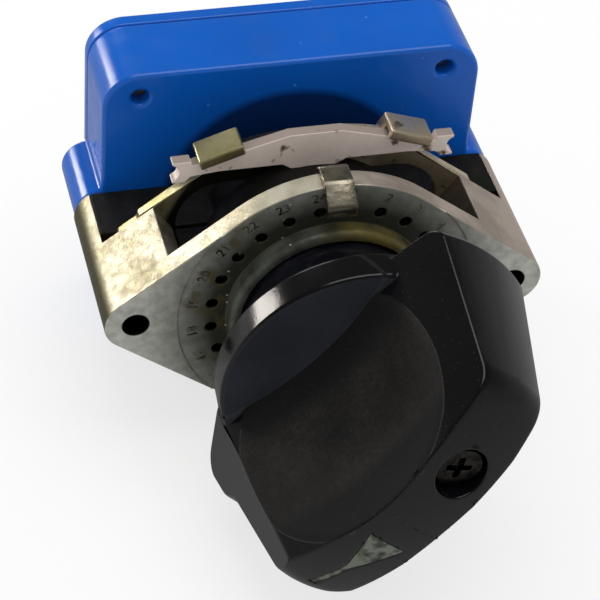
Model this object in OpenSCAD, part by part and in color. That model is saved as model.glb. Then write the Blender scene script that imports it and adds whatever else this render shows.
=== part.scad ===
// Panel-mounted rotary switch with 24 positions.
// Origin: shaft axis in the plane of the ears' front faces.
// X runs through the two ears, Y into the panel and Z up.
// Each piece is drawn with z along the shaft, towards the user, and then laid down.

/* [Front frame] */
// Distance between the two ear holes
ear_spacing = 50; // [48:0.5:54]
// Radius of the round index plate
plate_r = 19.3; // [18.5:0.1:20.5]
// Thickness of the front plate
plate_t = 3; // [2.6:0.1:3.6]
// Radius of each ear's end
ear_r = 4; // [3.7:0.1:4.6]
// Tapping radius of the ear holes, for an M4 screw
ear_hole_r = 1.65; // [1.5:0.05:1.9]
// Depth of the ear holes
ear_hole_depth = 8.5; // [6:0.5:9]
// Length of the posts, from the front face to the housing
post_len = 22.25; // [21.5:0.25:25]
// Width of the post's outer rib at each ear
rib_w = 2; // [1.7:0.1:2.4]
// Radius of the post's boss round the frame screw
boss_r = 2.5; // [2.2:0.1:2.7]
// Distance from the axis to the inner edge of each pillar's upper face
pillar_x = 20.5; // [20.2:0.1:21.5]

/* [Index plate] */
// Number of switch positions
positions = 24; // [12:1:24]
// Depth of the round plate's turned face below the ears
face_relief = 0.1; // [0.05:0.05:0.2]
// Radius of the circle of stop holes
index_circle_r = 15.3; // [14.8:0.1:16.2]
// Radius of each stop hole
index_hole_r = 0.8; // [0.5:0.05:1]
// Outer radius of the collar round the shaft
collar_r = 13.3; // [13:0.1:14]
// Height of the collar above the front face
collar_h = 2.1; // [1.6:0.1:3]
// Radius of the recess inside the collar
collar_bore_r = 12; // [11.6:0.1:12.3]
// Round of the collar's outer edge
collar_round = 0.9; // [0.3:0.1:1.1]
// Depth of the recess below the front face
recess_depth = 1; // [0.8:0.1:1.4]
// Thickness of the front bush's flange in the recess
flange_t = 0.8; // [0.5:0.1:0.8]
// Width of the front bush's flange
flange_w = 2; // [1:0.1:3]
// Length of the front bush behind the plate
front_bush_out = 1.6; // [1:0.1:1.8]

/* [Rim clip] */
// Width of the clip over the plate's rim
clip_w = 3.8; // [2.5:0.1:5]
// Sheet thickness of the clip
clip_t = 0.9; // [0.6:0.1:1.1]
// Length of the clip's leg down the front face
clip_front_leg = 3.3; // [2:0.1:3.4]
// Length of the clip's leg behind the plate
clip_rear_leg = 4; // [3:0.1:4]

/* [Detent] */
// Length of the detent block along the shaft
block_len = 9.4; // [9:0.1:10.4]
// Radius of the detent block's round body
block_r = 14.2; // [13.8:0.1:14.4]
// Half length of the block's two arms
block_arm_x = 17.6; // [17.3:0.1:18]
// Half height of the block's two arms
block_arm_y = 4.5; // [3.5:0.1:6]
// Tip radius of the star wheel
star_r = 10; // [9.4:0.1:10.2]
// Thickness of the star wheel
star_t = 3.6; // [3:0.1:4]
// Radius of each detent ball
ball_r = 2; // [1.8:0.05:2.1]
// Wire radius of the detent springs
spring_wire_r = 0.22; // [0.15:0.01:0.3]
// Turns of each detent spring
spring_turns = 3; // [2:1:4]
// Length of the threaded plug behind each spring
plug_len = 1.4; // [1.2:0.1:1.6]

/* [Bracket and bar] */
// Thickness of the retaining bar
bar_t = 1.6; // [1.2:0.1:2]
// Half width of the retaining bar
bar_x = 18.5; // [17.5:0.1:18.8]
// Height of the bar's lower edge above the axis
bar_low = 14.6; // [14.5:0.1:15]
// Height of the bar's shoulders above the axis
bar_shoulder = 16.6; // [16.2:0.1:17.2]
// Height of the bar's crown above the axis
bar_crown = 19.2; // [18.6:0.1:20]
// Drop of the bar's two feet below its lower edge
bar_foot = 1.2; // [0.6:0.1:1.4]
// Radius of the notch in each end of the bar
bar_notch = 1.3; // [0.8:0.1:1.5]
// Half width of the key at the bar's middle
key_x = 3; // [2:0.1:4]
// Depth of the key below the bar's lower edge
key_depth = 0.8; // [0.5:0.1:1.2]
// Thickness of the bracket's sheet
bracket_t = 1.6; // [1.2:0.1:1.8]
// Half width of the bracket's window
window_x = 17.4; // [16.8:0.1:17.6]
// Half height of the bracket's window
window_y = 11.3; // [10.6:0.1:11.5]
// Radius of the window's corners
window_round = 6; // [5:0.1:7]
// Distance from the axis to the bracket's ends
bracket_x = 24.8; // [24:0.1:25.4]
// Distance from the axis to the step in the bracket's edge
bracket_step_x = 22.3; // [21.6:0.1:23]
// Depth of the step in the bracket's edge
bracket_step = 0.6; // [0.3:0.1:0.9]
// Slope of each strap across its width
strap_angle = 19; // [17:1:21]
// Width of each strap
strap_w = 6; // [5:0.1:6.4]
// Distance from the bracket's middle line to each strap
strap_from = 3; // [2.6:0.1:3.6]
// Thickness of each strap
strap_t = 1; // [0.8:0.1:1.2]
// Height of the straps' upper faces, square to their slope
strap_top = 21.3; // [21:0.1:21.8]
// Distance from the window's edge to each strap's root
strap_root = 4.4; // [4:0.1:5]
// Length of each strap's turned-down lip
strap_lip = 1.5; // [1.2:0.1:2]
// Width of the open slot that the bar keeps beside each strap
strap_slot = 0.9; // [0.5:0.1:1.2]

/* [Base spacer] */
// Radius of the spacer's round body
base_r = 12; // [11:0.1:13]
// Radius of the spacer where it meets the housing
base_rear_r = 10.2; // [9:0.1:11]
// Length of the spacer's stepped rear end
base_step = 2.8; // [1.5:0.1:4]
// Half height of the spacer's arms
base_arm_y = 3.6; // [3.4:0.1:3.9]

/* [Housing] */
// Width of the contact housing
housing_w = 50.6; // [49:0.2:51.6]
// Height of the contact housing
housing_h = 44.2; // [43.6:0.2:47]
// Depth of the contact housing with its cover
housing_d = 13.2; // [12.8:0.1:16]
// Radius of the housing's corners
housing_round = 5; // [3:0.1:6]
// Radius of the side lugs
lug_r = 3.8; // [3.4:0.1:4]
// Thickness of the housing's front wall
front_wall = 2; // [1.4:0.1:2.4]
// Radius of the round contact chamber
chamber_r = 18.4; // [18:0.1:18.8]
// Radius of the seat for the stator wafer
stator_r = 20; // [19.4:0.1:20.4]
// Thickness of the stator wafer
stator_t = 1.6; // [1.2:0.1:2]
// Thickness of the rear cover
cover_t = 2; // [1.6:0.1:3]
// Distance of the cover screws from the axis, sideways
screw_x = 20.4; // [20:0.1:20.8]
// Distance of the cover screws from the axis, upwards
screw_y = 18.5; // [18:0.1:18.9]
// Radius of the cover screws' shanks
cover_screw_r = 1.1; // [0.8:0.05:1.25]
// Radius of the frame screws' shanks, M2.5
frame_screw_r = 1.25; // [1.1:0.05:1.4]
// Length of the frame screws' thread inside the posts
frame_screw_grip = 9; // [7:0.5:9.5]

/* [Contacts] */
// Radius of the circle of contact studs
stud_circle_r = 15.2; // [14.4:0.1:15.6]
// Radius of each stud's head
stud_head_r = 1.3; // [0.9:0.05:1.4]
// Height of each stud's head
stud_head_h = 0.6; // [0.4:0.05:0.9]
// Radius of each terminal pin
pin_r = 0.6; // [0.4:0.05:0.7]
// Length of the terminal pins behind the cover
pin_out = 5; // [3:0.5:8]
// Inner radius of the common ring
ring_in_r = 6; // [5.6:0.1:6.6]
// Width of the common ring
ring_w = 2.2; // [1.8:0.1:2.6]
// Thickness of the contact rotor
rotor_t = 2.6; // [2:0.1:3]
// Radius of the contact rotor's hub
rotor_r = 9; // [8.4:0.1:10]
// Thickness of the wiper blade
wiper_t = 0.4; // [0.3:0.05:0.6]
// Width of the wiper blade
wiper_w = 4; // [3:0.1:5]

/* [Shaft] */
// Radius of the shaft
shaft_r = 3; // [2.8:0.05:3.2]
// Depth of the shaft's flats
flat_depth = 0.6; // [0.3:0.05:0.8]
// Wall of the two bearing bushes
bush_wall = 2; // [1.6:0.1:2.4]
// Wall of the spacer tube on the shaft
tube_wall = 1.1; // [0.8:0.1:1.2]
// Thickness of the retaining ring
clip_ring_t = 0.8; // [0.6:0.1:1]

/* [Knob] */
// Angle of the grip from the horizontal
knob_angle = 47.7; // [0:0.1:90]
// Radius of the knob's hub
hub_r = 17.3; // [16.5:0.1:18]
// Height of the hub's rear face above the front plate
hub_rear = 8.7; // [8.2:0.1:9.4]
// Height of the hub's front face above the front plate
hub_front = 14.6; // [14:0.1:15.4]
// Round of the hub's rear edge
hub_round = 2; // [0.8:0.1:2.4]
// Height of the grip's crown above the front plate
grip_top = 39.2; // [37:0.1:41]
// Height of the grip's rear ends above the front plate
grip_rear = 11.5; // [11:0.1:12.5]
// Radius of the crown, along and across the grip
crown_r = 38; // [36:0.5:41]
// Half length of the grip's tail at the height of its rear end
tail_reach = 23.8; // [23:0.1:24.4]
// Half length of the grip's pointer end at the same height
pointer_reach = 22; // [21.4:0.1:22.6]
// Inward slope of the grip's ends, per unit of height
end_draft = 0.19; // [0.16:0.01:0.22]
// Round between the grip's ends and its crown
end_round = 4.6; // [3.8:0.1:5.6]
// Round of the rear edge of the grip's ends
rear_round = 2; // [1:0.1:2.4]
// Thickness of the toe at the foot of the pointer end
toe = 1.3; // [0.8:0.1:1.6]
// Height of the toe's full part above the grip's rear
toe_full = 5.2; // [4.6:0.1:5.6]
// Height of the toe's run-out above the grip's rear
toe_end = 9.2; // [8.6:0.1:10]
// Half width of the grip at the height of its rear ends
grip_half_w = 9.1; // [8.6:0.1:9.6]
// Inward slope of the grip's sides, per unit of height
side_draft = 0.142; // [0.12:0.002:0.16]
// Distance from the axis to the side's crease before the tail
tail_crease = 13; // [12.4:0.1:13.6]
// Inward turn of the sides beyond the tail's crease
tail_angle = 7; // [4:1:10]
// Distance from the axis to the side's crease before the pointer end
pointer_crease = 15.1; // [14.6:0.1:15.6]
// Inward turn of the sides beyond the pointer end's crease
pointer_angle = 38; // [34:1:42]
// Radius of the finger scoops
scoop_r = 40; // [36:0.5:48]
// Half width left between the scoops
waist = 4; // [3.6:0.1:4.6]
// Height of the scoops' middle above the front plate
scoop_height = 30; // [27:0.5:32]
// Distance of the knob screw from the axis, along the grip
knob_screw_l = 8.6; // [8.4:0.1:9.2]
// Radius of the knob screw's recess
counterbore_r = 3.3; // [3.1:0.05:3.4]
// Height of the knob screw's seat above the front plate
screw_seat = 35; // [34:0.1:35.6]
// Radius of the knob screw's head
knob_head_r = 2.9; // [2.6:0.05:3]
// Height of the knob screw's head
knob_head_h = 2; // [1.6:0.1:2.2]
// Radius of the knob screw's shank, M3
knob_screw_r = 1.5; // [1.2:0.05:1.6]
// Depth of the pointer inlay
inlay_depth = 0.5; // [0.3:0.05:0.8]
// Half width of the pointer's base
pointer_half_w = 2.9; // [2:0.1:3.4]
// Distance of the pointer's base from the axis
pointer_base_l = 3.8; // [3.4:0.1:5]
// Distance of the pointer's point from the axis
pointer_tip_l = 9.9; // [9:0.1:11]
// Distance of the line's end from the axis
pointer_end_l = 15.2; // [14:0.1:15.6]
// Width of the pointer's line
pointer_line_w = 0.7; // [0.4:0.1:1]

/* [Knob neck] */
// Radius of the neck where it enters the collar
neck_r = 11.7; // [11.2:0.1:11.75]
// Radius of the neck where it meets the hub
neck_front_r = 14.4; // [13:0.1:15]
// Height of the neck's boss inside the hub
neck_boss_h = 2.4; // [1.5:0.1:4]
// Radius of the neck's boss inside the hub
neck_boss_r = 12; // [11.5:0.1:13]

/* [Fits] */
// Radial clearance of the shaft in its bushes
bearing_gap = 0.03; // [0.02:0.01:0.06]
// Clearance between fixed pieces that fit into each other
fixed_gap = 0.05; // [0.02:0.01:0.1]
// Clearance between a moving piece and a fixed one
moving_gap = 0.3; // [0.2:0.05:0.4]

/* [Hidden] */

round_fn = 96;
small_fn = 48;
eps = 0.01;
half_span = ear_spacing / 2;
rib_x = half_span + ear_r - rib_w;
relief_margin = 0.3;

// Places along the shaft, measured from the front face towards the user
plate_back = -plate_t;
block_back = plate_back - block_len;
bar_front = block_back + bar_t;
bracket_back = block_back - bracket_t;
post_end = -post_len;
housing_back = -post_len - housing_d;
cover_front = housing_back + cover_t;
chamber_front = post_end - front_wall;
flange_top = flange_t - recess_depth;
neck_rear = flange_top + moving_gap;
bush_rear = plate_back - front_bush_out;
star_front = bush_rear - moving_gap;
star_back = star_front - star_t;
cavity_back = star_back - moving_gap;
ball_z = (star_front + star_back) / 2;

// Detent geometry: the ball's centre when it sits in a notch
pitch_angle = 360 / positions;
notch_share = 0.97;
half_mouth = notch_share * star_r * sin(pitch_angle / 2);
notch_r = ball_r + fixed_gap;
seat_x = star_r * cos(pitch_angle / 2) + sqrt(notch_r * notch_r - half_mouth * half_mouth);
ball_travel = star_r + ball_r + fixed_gap - seat_x;
guide_r = ball_r + fixed_gap;
cavity_r = star_r + 2 * moving_gap;
plug_x = block_arm_x - plug_len;
spring_cup = 0.75;
spring_from = seat_x + ball_r * spring_cup;
spring_r = ball_r - spring_wire_r - 3 * fixed_gap;

// Contacts, from the chamber's front wall to the rear
rotor_front = chamber_front - moving_gap;
rotor_back = rotor_front - rotor_t;
wiper_back = rotor_back - wiper_t;
dome_h = 0.9;
dome_r = 0.7;
rivet_r = 0.8;
rotor_turn = 225;
ring_pin_l = ring_in_r + ring_w / 2;
rivet_l = (ring_pin_l + stud_circle_r) / 2;
stud_face = wiper_back - dome_h - 2 * fixed_gap;
stator_front = stud_face - stud_head_h;
stator_back = stator_front - stator_t;
pin_end = housing_back - pin_out;
spigot_wall = 2;

// Screws
head_share = 1.85;
frame_head_r = frame_screw_r * head_share;
frame_head_h = 2;
cover_head_h = 1.4;
cross_w = 0.6;
neck_screw_r = 1.5;
neck_screw_l = 6;
hex_r = 0.86;

// Shaft
bush_r = shaft_r + bush_wall;
tube_r = shaft_r + tube_wall;
shaft_in_grip = 14;
washer_t = 0.6;
groove_depth = 0.5;
ring_lip = 1.8;
ring_land = 1.2;
rear_bush_out = 1;
rear_flange_w = 1.4;
washer_front = housing_back - rear_bush_out - fixed_gap;
ring_front = washer_front - washer_t - fixed_gap;
shaft_rear = ring_front - clip_ring_t - ring_land;
groove_r = shaft_r - groove_depth;
shaft_front = hub_front + shaft_in_grip;
shaft_chamfer = 0.5;
flat_x = shaft_r - flat_depth;

// Knob
crown_z = grip_top - crown_r;
function crown_at(l) = crown_z + sqrt(crown_r * crown_r - l * l);
neck_screw_z = 4.2;
knob_screw_tip = hub_rear - 4.5;

// Tangent points of a round plate with two ears
function tangent_angle(disc, ear, span) = acos((disc - ear) / span);

module lay_down() {
    rotate([90, 0, 0]) children();
}

// A disc with two ears joined by tangents
module eared_disc(disc, ear, span) {
    angle = tangent_angle(disc, ear, span);
    near = [disc * cos(angle), disc * sin(angle)];
    far = [span + ear * cos(angle), ear * sin(angle)];
    circle(r = disc, $fn = round_fn);
    for (side = [-1, 1]) translate([side * span, 0]) circle(r = ear, $fn = small_fn);
    polygon([
        far, near, [-near[0], near[1]], [-far[0], far[1]],
        [-far[0], -far[1]], [-near[0], -near[1]], [near[0], -near[1]], [far[0], -far[1]],
    ]);
}

module rounded_rect(w, h, r) {
    square([w - 2 * r, h], center = true);
    square([w, h - 2 * r], center = true);
    for (x = [-1, 1], y = [-1, 1])
        translate([x * (w / 2 - r), y * (h / 2 - r)]) circle(r = r, $fn = small_fn);
}

module both_sides() {
    for (side = [0, 1]) mirror([side, 0, 0]) children();
}

// A straight piece of round bar from z = top down to z = bottom
module rod(r, top, bottom, fn = small_fn) {
    translate([0, 0, bottom]) cylinder(r = r, h = top - bottom, $fn = fn);
}

// The flatted bore that keys a piece to the shaft
module keyed_bore(top, bottom) {
    intersection() {
        rod(shaft_r + fixed_gap, top, bottom);
        translate([-shaft_r * 2, -shaft_r * 2, bottom])
            cube([shaft_r * 2 + flat_x + fixed_gap, shaft_r * 4, top - bottom]);
    }
}

// Front frame

module collar_profile() {
    wall = collar_r - collar_bore_r;
    difference() {
        union() {
            translate([collar_bore_r, -face_relief - eps])
                square([wall, face_relief + collar_h - collar_round + eps]);
            translate([collar_bore_r, 0]) square([wall - collar_round, collar_h]);
            translate([collar_r - collar_round, collar_h - collar_round])
                circle(r = collar_round, $fn = small_fn);
        }
        translate([0, -1]) square([collar_bore_r, collar_h + 2]);
    }
}

module post_section() {
    intersection() {
        eared_disc(plate_r, ear_r, half_span);
        both_sides() translate([rib_x, -ear_r * 2]) square([rib_w * 2, ear_r * 4]);
    }
    both_sides() translate([half_span, 0]) circle(r = boss_r, $fn = small_fn);
    both_sides() translate([half_span, -boss_r / 2]) square([rib_x - half_span + eps, boss_r]);
}

// Height at which the tangent line crosses the pillar's inner edge
function pillar_top() =
    let (angle = tangent_angle(plate_r, ear_r, half_span))
    (plate_r - pillar_x * cos(angle)) / sin(angle);

// Each pillar slopes inwards below its upper face, down to the detent block's arm
module pillar_section() {
    root_x = block_arm_x + moving_gap;
    root_y = block_arm_y + moving_gap;
    intersection() {
        eared_disc(plate_r, ear_r, half_span);
        both_sides() polygon([
            [pillar_x, plate_r], [pillar_x, pillar_top()], [root_x, root_y],
            [root_x, -root_y], [pillar_x, -pillar_top()], [pillar_x, -plate_r],
            [plate_r * 2, -plate_r], [plate_r * 2, plate_r],
        ]);
    }
}

module front_frame() {
    color("gainsboro") difference() {
        union() {
            translate([0, 0, plate_back]) linear_extrude(plate_t - face_relief)
                eared_disc(plate_r, ear_r, half_span);
            translate([0, 0, -face_relief - eps]) linear_extrude(face_relief + eps) difference() {
                eared_disc(plate_r, ear_r, half_span);
                circle(r = plate_r + relief_margin, $fn = round_fn);
            }
            translate([0, 0, block_back]) linear_extrude(block_len + eps) pillar_section();
            translate([0, 0, post_end]) linear_extrude(post_len - plate_t + eps) post_section();
            rotate_extrude($fn = round_fn) collar_profile();
        }
        rod(collar_bore_r, collar_h + 1, -recess_depth, round_fn);
        rod(bush_r + fixed_gap, 1, plate_back - 1);
        for (i = [0 : positions - 1]) rotate((i + 0.5) * pitch_angle)
            translate([index_circle_r, 0]) rod(index_hole_r, 1, plate_back - 1, 24);
        both_sides() translate([half_span, 0]) {
            rod(ear_hole_r, 1, -ear_hole_depth, small_fn);
            rod(frame_screw_r + fixed_gap, post_end + frame_screw_grip + 1, post_end - 1, small_fn);
        }
    }
}

module front_bushing() {
    color("goldenrod") difference() {
        union() {
            rod(bush_r, flange_top, bush_rear);
            rod(bush_r + flange_w, flange_top, -recess_depth);
        }
        rod(shaft_r + bearing_gap, 1, bush_rear - 1);
    }
}

module rim_clip() {
    top = plate_r + fixed_gap;
    color("silver") translate([-clip_w / 2, 0, 0]) {
        translate([0, top - clip_front_leg, fixed_gap - face_relief])
            cube([clip_w, clip_front_leg, clip_t]);
        translate([0, top, plate_back - fixed_gap - clip_t])
            cube([clip_w, clip_t, plate_t - face_relief + 2 * (clip_t + fixed_gap)]);
        translate([0, top - clip_rear_leg, plate_back - fixed_gap - clip_t])
            cube([clip_w, clip_rear_leg, clip_t]);
    }
}

// Detent

module star_wheel() {
    color("dimgray") difference() {
        rod(star_r, star_front, star_back, round_fn);
        for (i = [0 : positions - 1]) rotate(i * pitch_angle) translate([seat_x, 0])
            rod(notch_r, star_front + 1, star_back - 1, small_fn);
        keyed_bore(star_front + 1, star_back - 1);
    }
}

module detent_block() {
    key_gap = 4 * fixed_gap;
    color("#26241f") difference() {
        union() {
            rod(block_r, plate_back, block_back, round_fn);
            translate([-block_arm_x, -block_arm_y, block_back])
                cube([block_arm_x * 2, block_arm_y * 2, block_len]);
        }
        rod(cavity_r, plate_back + 1, cavity_back, round_fn);
        rod(tube_r + moving_gap, 0, block_back - 1);
        for (side = [-1, 1]) translate([0, 0, ball_z]) rotate([0, side * 90, 0])
            cylinder(r = guide_r, h = block_arm_x + 1, $fn = small_fn);
        // Slot for the bar's key
        translate([-key_x - key_gap, bar_low - key_depth - fixed_gap, block_back - 1])
            cube([2 * (key_x + key_gap), block_r, bar_t + fixed_gap + 1]);
    }
}

module detent_ball() {
    color("lightgray") translate([seat_x, 0, ball_z]) sphere(r = ball_r, $fn = small_fn);
}

// Points of a ring of the spring's wire round its centre line
function coil_ring(i, steps, sides) =
    let (turn = spring_turns * 360 * i / steps,
         x = spring_from + spring_wire_r + (plug_x - spring_from - 2 * spring_wire_r) * i / steps)
    [for (k = [0 : sides - 1])
        let (r = spring_r + spring_wire_r * cos(360 * k / sides))
        [x + spring_wire_r * sin(360 * k / sides), r * cos(turn), r * sin(turn)]];

module detent_spring() {
    steps = spring_turns * 20;
    sides = 6;
    points = [for (i = [0 : steps]) each coil_ring(i, steps, sides)];
    skin = [for (i = [0 : steps - 1], k = [0 : sides - 1])
        let (a = i * sides, b = (i + 1) * sides, n = (k + 1) % sides) [a + k, a + n, b + n, b + k]];
    caps = [[for (k = [sides - 1 : -1 : 0]) k], [for (k = [0 : sides - 1]) steps * sides + k]];
    color("darkgoldenrod") translate([0, 0, ball_z]) polyhedron(points, concat(skin, caps), convexity = 10);
}

module spring_plugs() {
    slot_w = 0.6;
    color("silver") both_sides() translate([plug_x, 0, ball_z]) difference() {
        rotate([0, 90, 0]) cylinder(r = guide_r - fixed_gap, h = plug_len, $fn = small_fn);
        translate([plug_len / 2, -ball_r, -slot_w / 2]) cube([plug_len, ball_r * 2, slot_w]);
    }
}

// Bracket and bar

// Right half of the bar's outline, from the crown round to the key
function bar_half() = [
    [key_x + 0.4, bar_crown], [bar_x / 2, bar_shoulder + 1], [bar_x * 0.68, bar_shoulder + 0.1],
    [bar_x, bar_shoulder], [bar_x, bar_low - bar_foot], [bar_x - 1.6, bar_low - bar_foot],
    [bar_x - 2.4, bar_low - bar_foot / 3], [bar_x - 6, bar_low], [key_x + 1.2, bar_low],
    [key_x, bar_low - key_depth],
];

module retaining_bar() {
    half = bar_half();
    last = len(half) - 1;
    color("#b9a9a6") translate([0, 0, block_back]) linear_extrude(bar_t) difference() {
        polygon(concat(half, [for (i = [last : -1 : 0]) [-half[i][0], half[i][1]]]));
        both_sides() {
            translate([bar_x + bar_notch / 3, (bar_shoulder + bar_low - bar_foot) / 2])
                circle(r = bar_notch, $fn = small_fn);
            // Seat for the strap, with an open slot beside it
            rotate(-strap_angle) translate([strap_from - fixed_gap, strap_top - strap_t - fixed_gap])
                square([strap_w + strap_slot + fixed_gap, strap_t * 2]);
        }
    }
}

// A strap: up from the bracket's edge, forward over the bar and down by its lip
module strap() {
    front = bar_front + fixed_gap;
    root = window_y + strap_root;
    rotate(-strap_angle) translate([strap_from, 0, 0]) {
        translate([0, root, bracket_back]) cube([strap_w, strap_top - root, bracket_t]);
        translate([0, strap_top - strap_t, bracket_back])
            cube([strap_w, strap_t, front + strap_t - bracket_back]);
        translate([0, strap_top - strap_lip, front]) cube([strap_w, strap_lip, strap_t]);
    }
}

module bracket_outline() {
    intersection() {
        eared_disc(plate_r, ear_r, half_span);
        square([2 * bracket_step_x, plate_r * 3], center = true);
    }
    intersection() {
        eared_disc(plate_r - bracket_step, ear_r - bracket_step, half_span);
        square([2 * bracket_x, plate_r * 3], center = true);
    }
}

module strap_bracket() {
    color("#a9a36f") difference() {
        union() {
            translate([0, 0, bracket_back]) linear_extrude(bracket_t) difference() {
                bracket_outline();
                rounded_rect(2 * window_x, 2 * window_y, window_round);
            }
            both_sides() strap();
        }
        both_sides() translate([half_span, 0]) rod(boss_r + fixed_gap, block_back + 1, bracket_back - 1);
    }
}

module base_spacer() {
    reach = rib_x - fixed_gap;
    color("#211f1d") difference() {
        union() {
            rod(base_r, bracket_back, post_end + base_step, round_fn);
            rod(base_rear_r, bracket_back, post_end, round_fn);
            translate([-reach, -base_arm_y, post_end])
                cube([reach * 2, base_arm_y * 2, bracket_back - post_end]);
        }
        rod(tube_r + moving_gap, 0, post_end - 1);
        both_sides() translate([half_span, 0]) rod(boss_r + fixed_gap, bracket_back + 1, post_end - 1);
        both_sides() translate([half_span, -boss_r / 2 - fixed_gap, post_end - 1])
            cube([rib_w * 2, boss_r + 2 * fixed_gap, bracket_back - post_end + 2]);
    }
}

// Contact housing

module box_outline() {
    rounded_rect(housing_w, housing_h, housing_round);
}

module housing() {
    color("#1f6fc4") difference() {
        union() {
            translate([0, 0, cover_front]) linear_extrude(post_end - cover_front) box_outline();
            both_sides() translate([half_span, 0]) rod(lug_r, post_end, cover_front);
        }
        rod(tube_r + moving_gap, 0, housing_back);
        rod(chamber_r, chamber_front, housing_back, round_fn);
        rod(stator_r + fixed_gap, stator_front, housing_back, round_fn);
        both_sides() translate([half_span, 0]) {
            rod(frame_screw_r + 2 * fixed_gap, 0, housing_back);
            rod(frame_head_r + fixed_gap, cover_front + frame_head_h, housing_back);
        }
        for (x = [-1, 1], y = [-1, 1]) translate([x * screw_x, y * screw_y, 0])
            rod(cover_screw_r + fixed_gap, 0, housing_back, 24);
    }
}

module stud_places() {
    for (i = [0 : positions - 1]) rotate(i * pitch_angle) translate([stud_circle_r, 0]) children();
}

module stator() {
    color("saddlebrown") difference() {
        rod(stator_r, stator_front, stator_back, round_fn);
        rod(tube_r + moving_gap, 0, housing_back);
        stud_places() rod(pin_r + fixed_gap, 0, housing_back, 16);
        translate([0, ring_pin_l]) rod(pin_r + fixed_gap, 0, housing_back, 16);
    }
}

module contact_studs() {
    color("lightgray") stud_places() {
        rod(stud_head_r, stud_face, stator_front, 24);
        rod(pin_r, stator_front + eps, pin_end, 16);
    }
}

module common_ring() {
    color("peru") {
        difference() {
            rod(ring_in_r + ring_w, stud_face, stator_front, round_fn);
            rod(ring_in_r, 0, housing_back, round_fn);
        }
        translate([0, ring_pin_l]) rod(pin_r, stator_front + eps, pin_end, 16);
    }
}

module rear_cover() {
    color("#1b62b0") difference() {
        union() {
            translate([0, 0, housing_back]) linear_extrude(cover_t) box_outline();
            // Spigot that clamps the stator wafer in its seat
            rod(stator_r - fixed_gap, stator_back, housing_back + eps, round_fn);
        }
        rod(stator_r - spigot_wall, stator_back + 1, cover_front, round_fn);
        rod(bush_r + fixed_gap, 0, housing_back - 1);
        stud_places() rod(pin_r + 2 * fixed_gap, 0, housing_back - 1, 16);
        translate([0, ring_pin_l]) rod(pin_r + 2 * fixed_gap, 0, housing_back - 1, 16);
        both_sides() translate([half_span, 0]) rod(frame_head_r + fixed_gap, 0, housing_back - 1);
        for (x = [-1, 1], y = [-1, 1]) translate([x * screw_x, y * screw_y, 0])
            rod(cover_screw_r + 2 * fixed_gap, 0, housing_back - 1, 24);
    }
}

module rear_bushing() {
    color("goldenrod") difference() {
        union() {
            rod(bush_r, cover_front, housing_back - rear_bush_out);
            rod(bush_r + rear_flange_w, housing_back - fixed_gap, housing_back - rear_bush_out);
        }
        rod(shaft_r + bearing_gap, 0, shaft_rear);
    }
}

// A pan-head screw with a cross recess, head down, its seat at z = 0 and its shank going up
module rear_screw(r, length, head_r, head_h) {
    recess = head_r * 0.9;
    rod(r, length, -eps);
    difference() {
        rod(head_r, 0, -head_h);
        for (turn = [0, 90]) rotate(turn) translate([-recess / 2, -cross_w / 2, -head_h - 1])
            cube([recess, cross_w, 1 + head_h / 2]);
    }
}

module cover_screws() {
    length = chamber_front - housing_back;
    color("silver") for (x = [-1, 1], y = [-1, 1]) translate([x * screw_x, y * screw_y, housing_back])
        rear_screw(cover_screw_r, length, cover_screw_r * head_share, cover_head_h);
}

module frame_screws() {
    seat = cover_front + frame_head_h;
    length = post_end + frame_screw_grip - moving_gap - seat;
    color("silver") both_sides() translate([half_span, 0, seat])
        rear_screw(frame_screw_r, length, frame_head_r, frame_head_h);
}

// Shaft and what turns with it

// Cuts the flats of the shaft between two heights
module flat_cut(top, bottom) {
    translate([flat_x, -shaft_r * 2, bottom]) cube([shaft_r, shaft_r * 4, top - bottom]);
}

module shaft() {
    tip_r = shaft_r - shaft_chamfer;
    color("lightslategray") difference() {
        union() {
            rod(shaft_r, shaft_front - shaft_chamfer, shaft_rear + shaft_chamfer);
            translate([0, 0, shaft_front - shaft_chamfer])
                cylinder(r1 = shaft_r, r2 = tip_r, h = shaft_chamfer, $fn = small_fn);
            translate([0, 0, shaft_rear])
                cylinder(r1 = tip_r, r2 = shaft_r, h = shaft_chamfer, $fn = small_fn);
        }
        flat_cut(shaft_front + 1, flange_top);
        flat_cut(star_front, shaft_rear - 1);
        difference() {
            rod(shaft_r + 1, ring_front, ring_front - clip_ring_t);
            rod(groove_r, 0, shaft_rear - 1);
        }
    }
}

module spacer_tube() {
    color("silver") difference() {
        rod(tube_r, star_back - fixed_gap, rotor_front + fixed_gap);
        rod(shaft_r + bearing_gap, 0, housing_back);
    }
}

module contact_rotor() {
    arm_w = wiper_w + 2.4;
    arm_l = stud_circle_r + 1.6 - arm_w / 2;
    color("#5a3a22") difference() {
        union() {
            rod(rotor_r, rotor_front, rotor_back, round_fn);
            rotate(rotor_turn) translate([0, -arm_w / 2, rotor_back]) cube([arm_l, arm_w, rotor_t]);
            rotate(rotor_turn) translate([arm_l, 0]) rod(arm_w / 2, rotor_front, rotor_back);
        }
        keyed_bore(0, rotor_back - 1);
        rotate(rotor_turn) translate([rivet_l, 0]) rod(rivet_r + fixed_gap, 0, rotor_back - 1, 24);
    }
}

module wiper() {
    rivet_h = rotor_t * 0.8;
    over = 1;
    color("#b87333") rotate(rotor_turn) {
        translate([ring_pin_l - over, -wiper_w / 2, wiper_back])
            cube([stud_circle_r - ring_pin_l + 2 * over, wiper_w, wiper_t]);
        for (l = [ring_pin_l, stud_circle_r]) translate([l, 0])
            rod(dome_r, wiper_back + eps, wiper_back - dome_h, 24);
        translate([rivet_l, 0]) rod(rivet_r, rotor_back + rivet_h, wiper_back, 24);
    }
}

module thrust_washer() {
    color("silver") difference() {
        rod(bush_r + 0.6, washer_front, washer_front - washer_t);
        rod(shaft_r + fixed_gap, 0, shaft_rear - 1);
    }
}

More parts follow.
